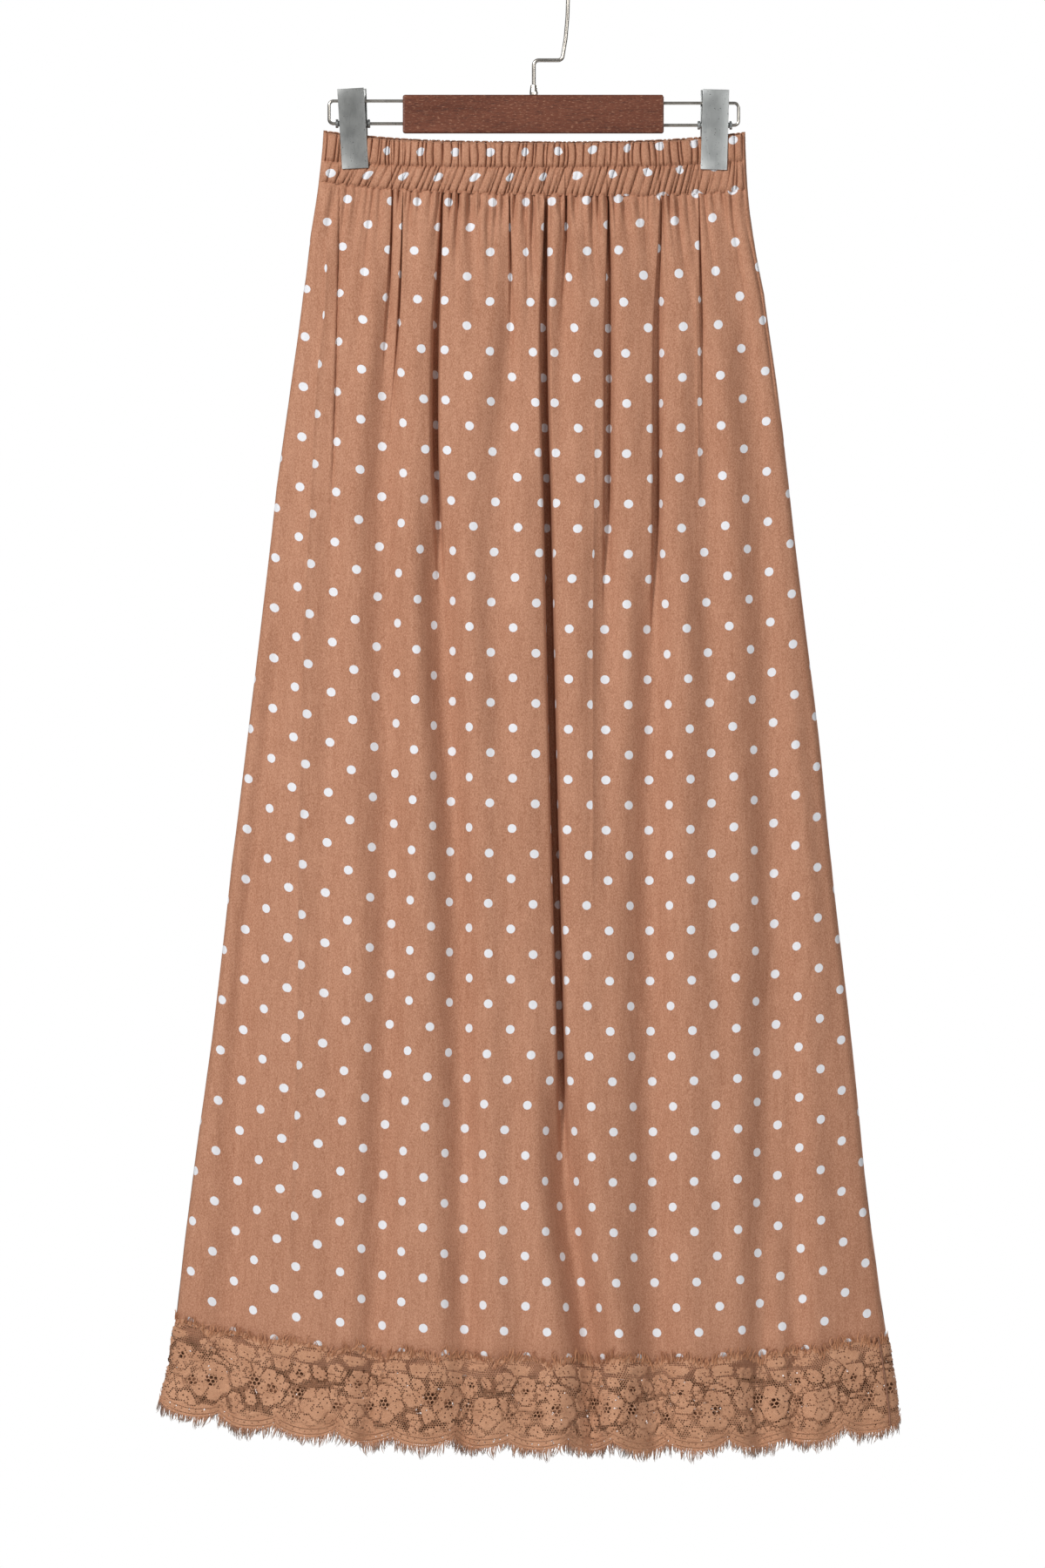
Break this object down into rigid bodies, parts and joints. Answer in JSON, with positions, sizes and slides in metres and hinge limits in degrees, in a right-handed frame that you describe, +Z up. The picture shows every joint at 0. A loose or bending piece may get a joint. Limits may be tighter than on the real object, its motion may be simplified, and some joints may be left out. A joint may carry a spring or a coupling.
{
  "type": "maxi skirt on a clip hanger",
  "caption": "Long flared skirt with an elastic waist, long soft folds and a lace hem border, pinched by its waist in the two spring clips of a wooden bar hanger with a wire hook.",
  "frame": {"origin": "the underside of the hook's crown, where it bears on a rail", "axes": "+Z up, +X to the right of the skirt seen from its front, -Y the front"},
  "size_m": [0.554, 0.0819, 1.1259],
  "materials": {
    "twill": "soft light twill, warm brown with an even staggered print of small white dots",
    "galloon": "matt tan floral net lace with eyelash edges",
    "wood": "red-brown fine-grained wood, satin",
    "steel": "drawn wire, nickel-toned, satin",
    "zinc": "pressed zinc-plated sheet, dull, a little worn"
  },
  "bodies": {
    "root": {"panel_front": "twill", "panel_back": "twill", "casing_front": "twill", "casing_back": "twill", "lace_front": "galloon", "lace_back": "galloon", "lashes_front": "galloon", "lashes_back": "galloon", "hanger_bar": "wood", "hook": "steel", "hook_ferrule": "steel", "wire_left": "steel", "wire_right": "steel", "clip_left_front_jaw": "zinc", "clip_left_back_jaw": "zinc", "clip_left_pivot": "zinc", "clip_right_front_jaw": "zinc", "clip_right_back_jaw": "zinc", "clip_right_pivot": "zinc"}
  },
  "joints": []
}
